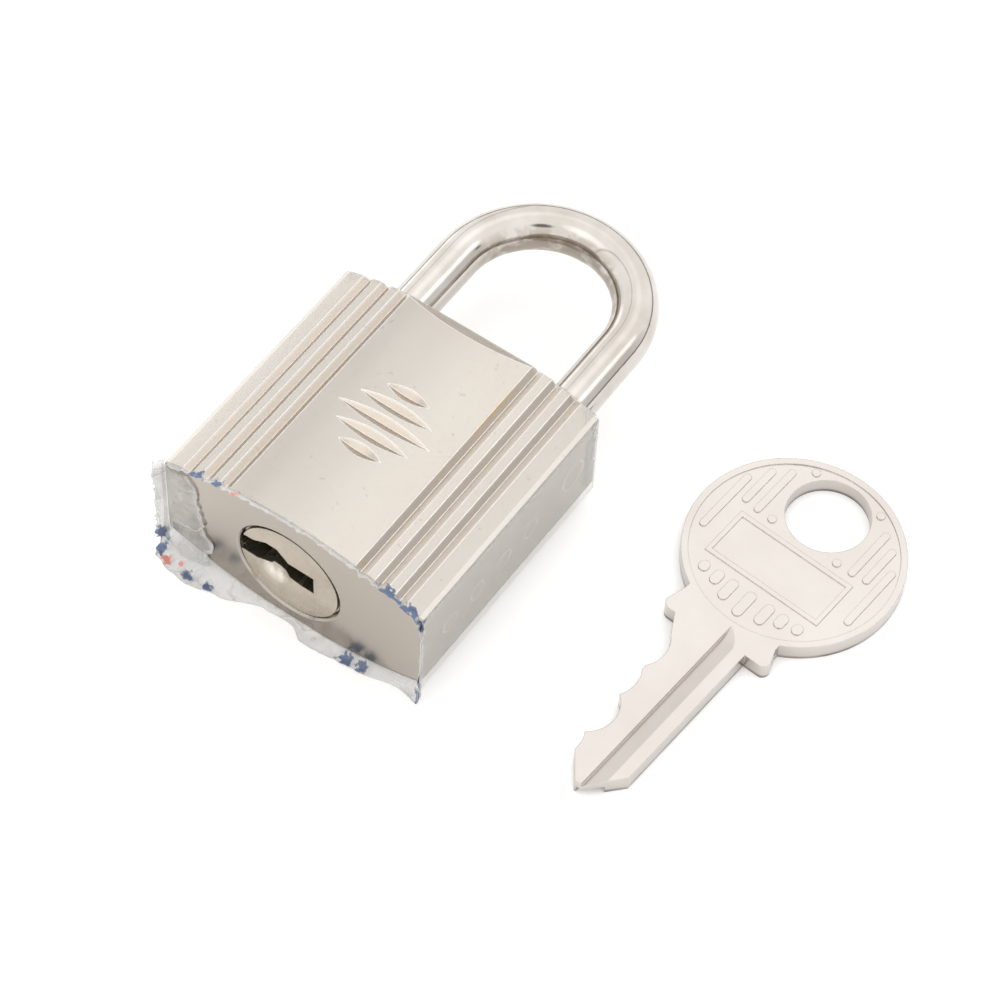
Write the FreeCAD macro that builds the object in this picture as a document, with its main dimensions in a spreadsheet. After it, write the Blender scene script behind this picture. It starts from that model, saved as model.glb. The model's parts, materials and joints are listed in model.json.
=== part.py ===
import FreeCAD, Part
import math
import os
import Sketcher

# Keyed padlock with a domed rectangular case, a round-wire shackle and its key.
# Millimetres. The lock lies on its back: +X across the width, +Y towards the shackle,
# +Z out through the front. The origin is under the middle of the keyway end, on the
# surface that the back's polished flat rests on.

doc = FreeCAD.newDocument("padlock")

# ---------------------------------------------------------------- driving sizes

SIZES = [
    ("overcut", 1.0),       # how far a cutting tool runs past the face that it opens
    # case
    ("case_width", 30.0), ("case_height", 28.8), ("case_edge_thickness", 10.6),
    ("dome_rise", 2.8), ("rest_flat_depth", 0.12),
    ("bevel_length", 1.4), ("bevel_crown_depth", 0.78),
    # reeded bands and the flutes between them
    ("reed_inner_offset", 7.95), ("reed_pitch", 2.2), ("reed_width", 1.4), ("reed_depth", 0.42),
    ("wheel_overcut", 0.25),
    ("flute_middle_place", 14.5), ("flute_pitch", 1.95), ("flute_width", 1.5), ("flute_depth", 0.42),
    ("flute_reach_middle", 5.4), ("flute_reach_inner", 4.2), ("flute_reach_outer", 2.5),
    # plug (the turning cylinder) and its bore
    ("plug_offset_across", -0.5), ("plug_axis_height", 7.3), ("plug_radius", 5.88),
    ("plug_running_clearance", 0.06), ("plug_length", 20.9), ("plug_recess", 0.1),
    ("plug_nose_radius", 5.7), ("plug_nose_length", 0.6), ("bore_lip_radius", 6.14), ("bore_lip_depth", 0.2),
    ("dimple_radius", 2.1), ("dimple_floor_radius", 0.42), ("dimple_depth", 0.45),
    ("dimple_across", -1.8), ("dimple_up", -1.4),
    ("keeper_radius", 0.4), ("keeper_place", 20.0), ("keeper_bite", 0.5), ("keeper_slack", 0.12),
    # keyway, across and above the plug's own axis
    ("keyway_end", 2.9), ("keyway_lift", 0.4), ("keyway_clearance", 0.12), ("keyway_bulge", 1.2),
    ("crest_far_foot", -4.2), ("crest_far", -2.7), ("crest_near", -1.4), ("crest_near_foot", -0.1),
    ("keyway_mouth_gap", 0.2), ("keyway_foot_drop", 0.25), ("keyway_foot_place", 1.4),
    ("ward_foot_gap", 0.075), ("ward_top_gap", 0.35),
    # pins
    ("pin_radius", 1.02), ("pin_clearance", 0.06), ("pin_first", 4.6), ("pin_pitch", 4.4),
    ("driver_length", 3.0), ("pin_shear_gap", 0.05), ("pin_drop", 0.8), ("pin_spring_length", 3.6),
    ("pin_spring_wire", 0.14), ("pin_tip_length", 0.5), ("pin_tip_radius", 0.34),
    # cam and latches
    ("cam_rim_step", 0.28), ("cam_thickness", 2.0), ("cam_slot_width", 1.3),
    ("cam_slot_rim", 0.8), ("latch_travel", 3.4), ("latch_radius", 1.65), ("latch_clearance", 0.06),
    ("latch_bite", 0.9), ("latch_bite_clearance", 0.15), ("latch_lift_over_cam", 0.35),
    ("peg_radius", 0.55), ("peg_depth", 1.6), ("latch_heel_length", 1.0), ("bore_plug_gap", 0.2),
    ("cam_screw_radius", 0.5), ("cam_screw_rim", 1.3), ("cam_screw_angle", 110.0),
    ("cam_screw_grip", 2.3), ("cam_screw_head_radius", 0.85), ("cam_screw_head_height", 0.7),
    # shackle
    ("shackle_offset_across", 0.2), ("shackle_half_span", 9.8), ("wire_radius", 2.4),
    ("bow_place", 40.2), ("shackle_hole_clearance", 0.1), ("toe_depth", 8.9), ("heel_depth", 19.8),
    ("shackle_lift", 9.9), ("leg_end_chamfer", 0.5), ("toe_hole_gap", 0.2),
    ("stop_pin_radius", 0.8), ("stop_pin_place", 21.2), ("stop_pin_bite", 0.9), ("stop_slack", 0.2),
    ("stop_pin_reach", 3.2), ("heel_spring_length", 5.6), ("heel_spring_wire", 0.3),
    ("heel_spring_turns", 6.0), ("pin_spring_turns", 7.0),
    # clear film round the case
    ("film_thickness", 0.12), ("film_gap", 0.03), ("film_skirt", 1.3), ("film_flap", 3.3),
    ("film_flare", 1.1), ("film_hole_gap", 0.3),
    # key
    ("key_across", 35.3), ("key_along", 34.1), ("key_turn", -4.4), ("key_thickness", 2.0),
    ("bow_radius", 11.1), ("bow_hole_radius", 4.3), ("bow_hole_place", 5.55), ("bow_rim", 0.7),
    ("emboss_depth", 0.14), ("key_shoulder", 13.2), ("key_neck_half_width", 5.45),
    ("key_neck_root", 7.5), ("key_neck_foot", 10.2),
    ("key_lug_reach", 6.05), ("key_lug_radius", 0.75), ("key_lug_skew", 0.5),
    ("blade_width", 6.5), ("blade_back", 3.6), ("blade_length", 20.7), ("tip_length", 3.4),
    ("tip_width", 0.9), ("tip_inset", 2.75), ("cut_radius", 3.3),
    ("cut_depth_first", 0.65), ("cut_depth_second", 0.6), ("cut_depth_third", 1.5),
    ("cut_depth_fourth", 0.7), ("throat_length", 2.8), ("throat_width", 1.6), ("throat_blend", 0.5),
    ("groove_inset", 1.3), ("groove_width", 1.7), ("groove_depth", 0.4), ("ward_inset", 1.45),
    ("ward_width", 2.1), ("ward_depth", 0.95), ("groove_runout_radius", 7.0),
    ("frame_half_width", 6.8), ("frame_low", -5.5), ("frame_high", 0.4), ("frame_line", 0.5),
    ("side_bar_width", 0.8), ("side_bar_1_across", 5.75), ("side_bar_1_low", 1.25), ("side_bar_1_high", 7.7),
    ("side_bar_2_across", 7.35), ("side_bar_2_low", 1.45), ("side_bar_2_high", 6.5),
    ("side_bar_3_across", 8.8), ("side_bar_3_low", -3.55), ("side_bar_3_high", 4.4),
    ("foot_bar_width", 1.1), ("foot_bar_top", -6.45), ("foot_bar_0_across", 0.0), ("foot_bar_0_low", -9.7),
    ("foot_bar_1_across", 2.2), ("foot_bar_1_low", -9.1), ("foot_bar_2_across", 3.9),
    ("foot_bar_2_low", -8.2), ("foot_bar_3_across", 5.65), ("foot_bar_3_low", -7.7),
    ("dot_radius", 0.45), ("dot_across", 3.95), ("dot_low", 1.6), ("dot_high", 8.9),
]

sizes = doc.addObject("Spreadsheet::Sheet", "sizes")
for row, (alias, value) in enumerate(SIZES, start=1):
    sizes.set("A%d" % row, alias)
    sizes.set("B%d" % row, str(value))
    sizes.setAlias("B%d" % row, alias)

# Sizes that follow from the driving ones, in order, each as a formula on the sheet above.
FOLLOWS = [
    ("dome_radius", "(sizes.case_width^2 / 4 + sizes.dome_rise^2) / (2 * sizes.dome_rise)"),
    ("back_edge", "sizes.dome_rise - sizes.rest_flat_depth"),
    ("front_edge", "back_edge + sizes.case_edge_thickness"),
    ("crown", "front_edge + sizes.dome_rise"),
    ("middle", "(back_edge + front_edge) / 2"),
    ("front_dome_axis", "crown - dome_radius"),
    ("back_dome_axis", "dome_radius - sizes.rest_flat_depth"),
    ("half_width", "sizes.case_width / 2"),
    ("bore_radius", "sizes.plug_radius + sizes.plug_running_clearance"),
    ("plug_end", "sizes.plug_recess + sizes.plug_length"),
    ("cam_start", "plug_end"),
    ("cam_end", "cam_start + sizes.cam_thickness"),
    ("cam_radius", "sizes.plug_radius - sizes.cam_rim_step"),
    ("cam_slot_start", "cam_radius - sizes.cam_slot_rim"),
    ("cam_screw_circle", "cam_radius - sizes.cam_screw_rim"),
    ("latch_place", "cam_end + sizes.latch_lift_over_cam + sizes.latch_radius"),
    ("bore_end", "latch_place - sizes.latch_radius / 2"),
    ("heel_place", "sizes.shackle_offset_across - sizes.shackle_half_span"),
    ("toe_place", "sizes.shackle_offset_across + sizes.shackle_half_span"),
    ("leg_hole_radius", "sizes.wire_radius + sizes.shackle_hole_clearance"),
    ("toe_end", "sizes.case_height - sizes.toe_depth"),
    ("heel_end", "sizes.case_height - sizes.heel_depth"),
    ("heel_hole_end", "heel_end - sizes.heel_spring_length"),
    ("toe_hole_end", "toe_end - sizes.toe_hole_gap"),
    ("chamber_radius", "sizes.pin_radius + sizes.pin_clearance"),
    ("keyway_middle", "sizes.plug_axis_height + sizes.keyway_lift"),
    ("keyway_half", "sizes.key_thickness / 2 + sizes.keyway_clearance"),
    ("blade_seat", "sizes.plug_offset_across + sizes.keyway_end - sizes.keyway_clearance"),
    ("notch_depth", "sizes.latch_bite + sizes.latch_bite_clearance"),
    ("lift_per_travel", "sizes.shackle_lift / sizes.latch_travel"),
    ("notch_top", "latch_place + sizes.latch_radius + sizes.latch_bite_clearance"),
    ("notch_low", "latch_place - sizes.latch_radius - sizes.latch_bite_clearance"),
    ("ramp_low", "notch_low - notch_depth * lift_per_travel"),
    ("driver_start", "sizes.plug_offset_across + bore_radius + sizes.pin_shear_gap"),
    ("driver_end", "driver_start + sizes.driver_length"),
    ("pin_spring_end", "driver_end + sizes.pin_spring_length"),
    ("blade_front", "sizes.blade_back - sizes.blade_width"),
    ("blade_root", "-sizes.key_shoulder"),
    ("blade_tip", "blade_root - sizes.blade_length"),
    ("deepest_cut", "max(sizes.cut_depth_first; sizes.cut_depth_second; sizes.cut_depth_third;"
                    " sizes.cut_depth_fourth)"),
    ("ward_near", "sizes.keyway_end - sizes.keyway_clearance"
                  " - (sizes.blade_width - sizes.ward_inset - sizes.ward_width)"),
    ("ward_far", "ward_near - sizes.ward_width"),
    ("chamber_floor", "blade_seat - deepest_cut - sizes.pin_drop - sizes.pin_clearance"),
]

worked = doc.addObject("Spreadsheet::Sheet", "worked")
for row, (alias, formula) in enumerate(FOLLOWS, start=1):
    worked.set("A%d" % row, alias)
    worked.set("B%d" % row, "=" + formula)
    worked.setAlias("B%d" % row, alias)
doc.recompute()

PLACE_OF = {name: "sizes." + name for name, _ in SIZES}
PLACE_OF.update({name: "worked." + name for name, _ in FOLLOWS})


def size(alias):
    """The present value of a driving or worked-out size."""
    sheet = sizes if PLACE_OF[alias].startswith("sizes") else worked
    return float(sheet.get(alias))


def full(text):
    """An expression with each bare size name replaced by its place on its sheet."""
    words = []
    word = ""
    for letter in str(text) + " ":
        if letter.isalnum() or letter == "_":
            word += letter
            continue
        words.append(PLACE_OF.get(word, word))
        words.append(letter)
        word = ""
    return "".join(words).strip()


def value_of(text):
    """The number that an expression on the two sheets gives now."""
    worked.set("D1", "=" + full(text))
    worked.recompute()
    return float(worked.get("D1"))


# ---------------------------------------------------------------- small builders

TURN_TO = {
    "+X": ("0; 1; 0", "90"), "-X": ("0; 1; 0", "-90"), "+Y": ("1; 0; 0", "-90"), "+Z": ("0; 0; 1", "0"),
}


def bind(item, **expressions):
    for name, text in expressions.items():
        item.setExpression(name, full(text))
    return item


def put(item, place, axis="0; 0; 1", angle="0", inside=None):
    """Bind an object's placement to three expressions and a turn about an axis."""
    here = "placement(vector(%s; %s; %s); rotation(vector(%s); %s))" % (*place, axis, angle)
    if inside:
        here = inside + " * " + here
    item.setExpression("Placement", full(here))
    return item


def rod(name, radius, length, place, along="+Z"):
    item = bind(doc.addObject("Part::Cylinder", name), Radius=radius, Height=length)
    axis, angle = TURN_TO[along]
    return put(item, place, axis, angle)


def taper(name, near, far, length, place, along="+Z"):
    item = bind(doc.addObject("Part::Cone", name), Radius1=near, Radius2=far, Height=length)
    axis, angle = TURN_TO[along]
    return put(item, place, axis, angle)


def block(name, x, y, z):
    """A box between two expressions on each axis."""
    item = doc.addObject("Part::Box", name)
    bind(item, Length="(%s) - (%s)" % (x[1], x[0]), Width="(%s) - (%s)" % (y[1], y[0]),
         Height="(%s) - (%s)" % (z[1], z[0]))
    return put(item, (x[0], y[0], z[0]))


PLANES = {
    "XY": ("0; 0; 1", "0", (0, 0, 1), 2), "XZ": ("1; 0; 0", "90", (0, 1, 0), 1),
    "YZ": ("1; 1; 1", "120", (1, 0, 0), 0),
}


def prism(name, plane, points, start, length):
    """A sketched polygon on one of the three planes, extruded towards plus."""
    axis, angle, direction, normal = PLANES[plane]
    sketch = doc.addObject("Sketcher::SketchObject", name + "_sketch")
    corners = [FreeCAD.Vector(value_of(a), value_of(b), 0) for a, b in points]
    for first, second in zip(corners, corners[1:] + corners[:1]):
        sketch.addGeometry(Part.LineSegment(first, second))
    count = len(corners)
    for index in range(count):
        sketch.addConstraint(Sketcher.Constraint("Coincident", index, 2, (index + 1) % count, 1))
    for index, (point, corner) in enumerate(zip(points, corners)):
        for kind, text, now in (("DistanceX", point[0], corner.x), ("DistanceY", point[1], corner.y)):
            rule = sketch.addConstraint(Sketcher.Constraint(kind, -1, 1, index, 1, now))
            sketch.setExpression("Constraints[%d]" % rule, full(text))
    place = ["0", "0", "0"]
    place[normal] = start
    put(sketch, place, axis, angle)
    solid = doc.addObject("Part::Extrusion", name)
    solid.Base = sketch
    solid.DirMode = "Custom"
    solid.Dir = FreeCAD.Vector(*direction)
    solid.Solid = True
    return bind(solid, LengthFwd=length)


def join(name, parts):
    item = doc.addObject("Part::MultiFuse", name)
    item.Shapes = parts
    item.Refine = True
    return item


def shared(name, parts):
    item = doc.addObject("Part::MultiCommon", name)
    item.Shapes = parts
    return item


def cut(name, base, tools):
    tool = tools[0] if len(tools) == 1 else join(name + "_tools", tools)
    item = doc.addObject("Part::Cut", name)
    item.Base = base
    item.Tool = tool
    item.Refine = True
    return item


def spring(name, coil_radius, wire, length, turns, place, along):
    """A round-wire compression spring, a wire's radius inside both of its ends."""
    axis, angle = TURN_TO[along]
    here = "placement(vector(%s; %s; %s); rotation(vector(%s); %s))" % (*place, axis, angle)
    helix = doc.addObject("Part::Helix", name + "_path")
    bind(helix, Radius=coil_radius, Height="(%s) - 2 * (%s)" % (length, wire),
         Pitch="((%s) - 2 * (%s)) / (%s)" % (length, wire, turns))
    put(helix, ("0", "0", wire), inside=here)
    ring = bind(doc.addObject("Part::Circle", name + "_section"), Radius=wire)
    put(ring, (coil_radius, "0", wire), "1; 0; 0", "90", inside=here)
    item = doc.addObject("Part::Sweep", name)
    item.Sections = [ring]
    item.Spine = (helix, [])
    item.Solid = True
    item.Frenet = True
    return item


nodes = []


def node(label, item):
    item.Label = label
    nodes.append(item)
    return item


PLUG_AXIS = ("plug_offset_across", "0", "plug_axis_height")


# ---------------------------------------------------------------- case

def domed_block(name, front_axis, back_axis, width, height):
    """A block whose front and back are shallow cylinders about the length."""
    body = block(name + "_block", ("-" + width, width), ("0", height), ("0", "crown + overcut"))
    front = rod(name + "_front", "dome_radius", height, ("0", "0", front_axis), "+Y")
    back = rod(name + "_back", "dome_radius", height, ("0", "0", back_axis), "+Y")
    return shared(name, [body, front, back])


case_blank = domed_block("case_blank", "front_dome_axis", "back_dome_axis", "half_width", "case_height")


def bevel(name, edge, top, out):
    """The flat bevel across the shackle end, deepest at the crown and fading towards the corners."""
    points = [("case_height", edge), ("case_height + overcut", edge), ("case_height + overcut", out),
              ("case_height - bevel_length", out), ("case_height - bevel_length", top)]
    return prism(name, "YZ", points, "-half_width - overcut", "case_width + 2 * overcut")


def reed(name, side, index):
    """One V groove along the case, square to the dome where it lies."""
    offset = "(reed_inner_offset + %d * reed_pitch)" % index
    dome = "placement(vector(0; 0; front_dome_axis); rotation(vector(0; 1; 0); %s * asin(%s / dome_radius)))"
    wide = "reed_width * (reed_depth + wheel_overcut) / reed_depth"
    item = doc.addObject("Part::Wedge", name)
    bind(item, Xmin="0", Xmax=wide, X2min="(%s) / 2" % wide, X2max="(%s) / 2" % wide,
         Ymin="0", Ymax="reed_depth + wheel_overcut", Zmin="0", Zmax="case_height + 2 * overcut",
         Z2min="0", Z2max="case_height + 2 * overcut")
    return put(item, ("-(%s) / 2" % wide, "-overcut", "dome_radius + wheel_overcut"), "1; 0; 0", "-90",
               inside=dome % (side, offset))


def flute(name, step, reach):
    """One short lens-shaped flute across the front, left by a V-edged wheel."""
    slope = "(2 * flute_depth / flute_width)"
    wheel = "(1 / (2 * flute_depth / %s^2 - 1 / dome_radius))" % reach
    half = "(flute_width / 2 + wheel_overcut)"
    along = "(flute_middle_place + %d * flute_pitch)" % step
    height = "crown - flute_depth + %s" % wheel
    rim = "%s - %s * %s" % (wheel, half, slope)
    low = taper(name + "_low", rim, wheel, half, ("0", "%s - %s" % (along, half), height), "+Y")
    high = taper(name + "_high", wheel, rim, half, ("0", along, height), "+Y")
    return join(name, [low, high])


ornament = []
for side_name, side in (("left", "-1"), ("right", "1")):
    for index in range(3):
        ornament.append(reed("reed_%s_%d" % (side_name, index + 1), side, index))
REACHES = {0: "flute_reach_middle", 1: "flute_reach_inner", 2: "flute_reach_outer"}
for step in range(-2, 3):
    ornament.append(flute("flute_%d" % (step + 3), step, REACHES[abs(step)]))


def pin_place(index):
    return "(plug_recess + pin_first + %d * pin_pitch)" % index


PINS = range(4)
bores = [
    rod("plug_bore", "bore_radius", "bore_end + overcut",
        ("plug_offset_across", "-overcut", "plug_axis_height"), "+Y"),
    taper("plug_bore_lip", "bore_lip_radius", "bore_radius", "bore_lip_depth", PLUG_AXIS, "+Y"),
    rod("heel_hole", "leg_hole_radius", "case_height - heel_hole_end + overcut",
        ("heel_place", "heel_hole_end", "middle"), "+Y"),
    rod("toe_hole", "leg_hole_radius", "case_height - toe_hole_end + overcut",
        ("toe_place", "toe_hole_end", "middle"), "+Y"),
    rod("latch_bore", "latch_radius + latch_clearance", "half_width - heel_place + overcut",
        ("heel_place", "latch_place", "middle"), "+X"),
    rod("keeper_hole", "keeper_radius", "plug_axis_height - plug_radius + overcut",
        ("plug_offset_across", "keeper_place", "-overcut"), "+Z"),
    rod("stop_pin_hole", "stop_pin_radius", "middle + stop_pin_reach + overcut",
        ("heel_place - wire_radius", "stop_pin_place", "-overcut"), "+Z"),
]
for index in PINS:
    bores.append(rod("chamber_%d" % (index + 1), "chamber_radius",
                     "half_width - plug_offset_across - plug_radius / 2 + overcut",
                     ("plug_offset_across + plug_radius / 2", pin_place(index), "plug_axis_height"), "+X"))

front_bevel = bevel("front_bevel", "crown - bevel_crown_depth", "crown", "crown + overcut")
back_bevel = bevel("back_bevel", "-rest_flat_depth + bevel_crown_depth", "-rest_flat_depth", "-overcut")
node("case_body", cut("case_body_solid", case_blank, [front_bevel, back_bevel] + ornament + bores))

# ---------------------------------------------------------------- plug

slot_points = [
    ("-plug_radius - overcut", "keyway_half + keyway_mouth_gap"),
    ("crest_far_foot", "keyway_half + 2 * keyway_mouth_gap"),
    ("crest_far", "keyway_half + keyway_bulge"), ("crest_near", "keyway_half + keyway_bulge"),
    ("crest_near_foot", "keyway_half"), ("keyway_end", "keyway_half"),
    ("keyway_end", "-keyway_half - keyway_foot_drop"),
    ("keyway_foot_place", "-keyway_half - keyway_foot_drop"), ("ward_near + ward_foot_gap", "-keyway_half"),
    ("ward_near - ward_top_gap", "-keyway_half + ward_depth - keyway_clearance"),
    ("ward_far + ward_top_gap", "-keyway_half + ward_depth - keyway_clearance"),
    ("ward_far - ward_foot_gap", "-keyway_half"), ("-plug_radius - overcut", "-keyway_half"),
]
slot_world = [("plug_offset_across + (%s)" % a, "keyway_middle + (%s)" % b) for a, b in slot_points]
keyway = prism("keyway", "XZ", slot_world, "-overcut", "plug_end + 2 * overcut")

plug_blank = rod("plug_blank", "plug_radius", "plug_length",
                 ("plug_offset_across", "plug_recess", "plug_axis_height"), "+Y")
nose_outer = rod("nose_outer", "plug_radius + overcut", "plug_nose_length + plug_recess", PLUG_AXIS, "+Y")
nose_inner = rod("nose_inner", "plug_nose_radius", "plug_nose_length + plug_recess", PLUG_AXIS, "+Y")
nose_step = cut("nose_step", nose_outer, [nose_inner])
keeper_width = "(2 * keeper_radius + 2 * keeper_slack)"
keeper_start = "keeper_place - keeper_radius - keeper_slack"
groove_outer = rod("keeper_groove_outer", "plug_radius + overcut", keeper_width,
                   ("plug_offset_across", keeper_start, "plug_axis_height"), "+Y")
groove_inner = rod("keeper_groove_inner", "plug_radius - keeper_bite - keeper_slack", keeper_width,
                   ("plug_offset_across", keeper_start, "plug_axis_height"), "+Y")
keeper_groove = cut("keeper_groove", groove_outer, [groove_inner])
dimple = taper("dimple", "dimple_radius", "dimple_floor_radius", "dimple_depth",
               ("plug_offset_across + dimple_across", "plug_recess", "plug_axis_height + dimple_up"), "+Y")


def cam_screw_place(turn, along):
    """A point on the cam screws' circle, half a turn apart."""
    angle = "(cam_screw_angle + %d)" % turn
    return ("plug_offset_across + cam_screw_circle * cos(%s * 1deg)" % angle, along,
            "plug_axis_height + cam_screw_circle * sin(%s * 1deg)" % angle)


SCREW_TURNS = (0, 180)
plug_tools = [keyway, nose_step, keeper_groove, dimple]
for turn in SCREW_TURNS:
    plug_tools.append(rod("cam_screw_tap_%d" % turn, "cam_screw_radius", "cam_screw_grip + overcut",
                          cam_screw_place(turn, "plug_end - cam_screw_grip"), "+Y"))
for index in PINS:
    plug_tools.append(rod("plug_chamber_%d" % (index + 1), "chamber_radius", "plug_radius + overcut",
                          ("chamber_floor", pin_place(index), "plug_axis_height"), "+X"))
node("plug", cut("plug_solid", plug_blank, plug_tools))

node("plug_keeper_pin", rod("plug_keeper_pin_solid", "keeper_radius",
                            "plug_axis_height - plug_radius + keeper_bite",
                            ("plug_offset_across", "keeper_place", "0"), "+Z"))

# ---------------------------------------------------------------- pins, springs and their plugs

CUT_DEPTHS = ["cut_depth_first", "cut_depth_second", "cut_depth_third", "cut_depth_fourth"]
pin_reach = rod("pin_reach", "plug_radius - plug_running_clearance", "plug_length",
                ("plug_offset_across", "plug_recess", "plug_axis_height"), "+Y")
for index in PINS:
    number = index + 1
    tip = "blade_seat - %s" % CUT_DEPTHS[index]
    shank_start = "%s + pin_tip_length" % tip
    point = taper("key_pin_tip_%d" % number, "pin_tip_radius", "pin_radius", "pin_tip_length",
                  (tip, pin_place(index), "plug_axis_height"), "+X")
    shank = rod("key_pin_shank_%d" % number, "pin_radius", "plug_radius",
                (shank_start, pin_place(index), "plug_axis_height"), "+X")
    whole = join("key_pin_whole_%d" % number, [point, shank])
    node("key_pin_%d" % number, shared("key_pin_solid_%d" % number, [whole, pin_reach]))
    node("driver_pin_%d" % number, rod("driver_pin_solid_%d" % number, "pin_radius", "driver_length",
                                       ("driver_start", pin_place(index), "plug_axis_height"), "+X"))
    node("pin_spring_%d" % number, spring("pin_spring_solid_%d" % number,
                                          "pin_radius - 2 * pin_spring_wire", "pin_spring_wire",
                                          "pin_spring_length", "pin_spring_turns",
                                          ("driver_end", pin_place(index), "plug_axis_height"), "+X"))
    node("chamber_plug_%d" % number, rod("chamber_plug_solid_%d" % number, "chamber_radius",
                                         "half_width - pin_spring_end",
                                         ("pin_spring_end", pin_place(index), "plug_axis_height"), "+X"))

# ---------------------------------------------------------------- cam and latches


def scroll_slot(begin):
    """A slot whose middle line runs evenly inwards by the latch travel in a quarter turn."""
    steps = 12
    half = size("cam_slot_width") / 2
    start = size("cam_slot_start")
    travel = size("latch_travel")
    quarter = math.pi / 2
    low = size("cam_start") - size("overcut")
    high = size("cam_thickness") + 2 * size("overcut")
    sides = ([], [])
    for step in range(steps + 1):
        share = step / steps
        angle = begin + share * quarter
        radius = start - share * travel
        slope = -travel / quarter
        ahead = FreeCAD.Vector(slope * math.cos(angle) - radius * math.sin(angle), 0,
                               slope * math.sin(angle) + radius * math.cos(angle))
        ahead.normalize()
        aside = FreeCAD.Vector(ahead.z, 0, -ahead.x)
        middle = FreeCAD.Vector(size("plug_offset_across") + radius * math.cos(angle), low,
                                size("plug_axis_height") + radius * math.sin(angle))
        sides[0].append((middle + aside * half, ahead))
        sides[1].append((middle - aside * half, ahead))
    edges = []
    for side in sides:
        curve = Part.BSplineCurve()
        curve.interpolate([point for point, _ in side])
        edges.append(curve.toShape())
    ends = []
    for pick, sign in ((0, -1), (-1, 1)):
        first, ahead = sides[0][pick]
        second = sides[1][pick][0]
        bulge = (first + second) * 0.5 + ahead * (half * sign)
        ends.append(Part.Arc(first, bulge, second).toShape())
    outline = Part.Wire(Part.__sortEdges__([edges[0], ends[1], edges[1], ends[0]]))
    return Part.Face(outline).extrude(FreeCAD.Vector(0, high, 0))


cam_disc = rod("cam_disc", "cam_radius", "cam_thickness",
               ("plug_offset_across", "cam_start", "plug_axis_height"), "+Y")
cam_tools = []
for name, begin in (("cam_slot_toe", 0.0), ("cam_slot_heel", math.pi)):
    slot = doc.addObject("Part::Feature", name)
    slot.Shape = scroll_slot(begin)
    cam_tools.append(slot)
screws = []
for turn in SCREW_TURNS:
    cam_tools.append(rod("cam_screw_hole_%d" % turn, "cam_screw_radius", "cam_thickness + 2 * overcut",
                         cam_screw_place(turn, "cam_start - overcut"), "+Y"))
    cam_tools.append(rod("cam_screw_seat_%d" % turn, "cam_screw_head_radius",
                         "cam_screw_head_height + overcut",
                         cam_screw_place(turn, "cam_end - cam_screw_head_height"), "+Y"))
    screws.append(rod("cam_screw_shank_%d" % turn, "cam_screw_radius",
                      "cam_screw_grip + cam_thickness - cam_screw_head_height",
                      cam_screw_place(turn, "plug_end - cam_screw_grip"), "+Y"))
    screws.append(rod("cam_screw_head_%d" % turn, "cam_screw_head_radius", "cam_screw_head_height",
                      cam_screw_place(turn, "cam_end - cam_screw_head_height"), "+Y"))
node("plug_cam", cut("plug_cam_solid", cam_disc, cam_tools))
node("cam_screws", join("cam_screws_solid", screws))


def latch(name, sign, leg):
    """A sliding bolt from a shackle notch to just past its peg; sign is its side of the plug."""
    peg = "(plug_offset_across + (%d) * cam_slot_start)" % sign
    inner = "(%s - (%d) * latch_heel_length)" % (peg, sign)
    outer = "(%s - (%d) * (wire_radius - latch_bite))" % (leg, sign)
    along = "+X" if sign > 0 else "-X"
    bolt = rod(name + "_bolt", "latch_radius", "(%d) * (%s - %s)" % (sign, outer, inner),
               (inner, "latch_place", "middle"), along)
    pin = rod(name + "_peg", "peg_radius", "latch_place - cam_end + peg_depth",
              (peg, "cam_end - peg_depth", "plug_axis_height"), "+Y")
    return join(name, [bolt, pin])


node("latch_heel", latch("latch_heel_solid", -1, "heel_place"))
node("latch_toe", latch("latch_toe_solid", 1, "toe_place"))
plug_start = "toe_place + leg_hole_radius + bore_plug_gap"
node("latch_bore_plug", rod("latch_bore_plug_solid", "latch_radius + latch_clearance",
                            "half_width - (%s)" % plug_start,
                            (plug_start, "latch_place", "middle"), "+X"))

# ---------------------------------------------------------------- shackle


def leg(name, across, end):
    """A straight leg with a tapered end."""
    shank = rod(name, "wire_radius", "bow_place - (%s) - leg_end_chamfer" % end,
                (across, "%s + leg_end_chamfer" % end, "middle"), "+Y")
    point = taper(name + "_point", "wire_radius - leg_end_chamfer", "wire_radius", "leg_end_chamfer",
                  (across, end, "middle"), "+Y")
    return [shank, point]


shackle_bow = doc.addObject("Part::Torus", "shackle_bow")
bind(shackle_bow, Radius1="shackle_half_span", Radius2="wire_radius", Angle3="180")
put(shackle_bow, ("shackle_offset_across", "bow_place", "middle"))
shackle_blank = join("shackle_blank", leg("heel_leg", "heel_place", "heel_end")
                     + leg("toe_leg", "toe_place", "toe_end") + [shackle_bow])


def notch(name, across, sign):
    """A notch on a leg's inner side, with a ramp that follows the latch as it draws back."""
    face = "(%s + (%d) * wire_radius)" % (across, sign)
    floor = "(%s - (%d) * notch_depth)" % (face, sign)
    out = "(%s + (%d) * overcut)" % (face, sign)
    points = [(out, "notch_top"), (floor, "notch_top"), (floor, "notch_low"), (face, "ramp_low"),
              (out, "ramp_low - lift_per_travel")]
    return prism(name, "XY", points, "middle - wire_radius - overcut",
                 "2 * wire_radius + 2 * overcut")


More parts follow.
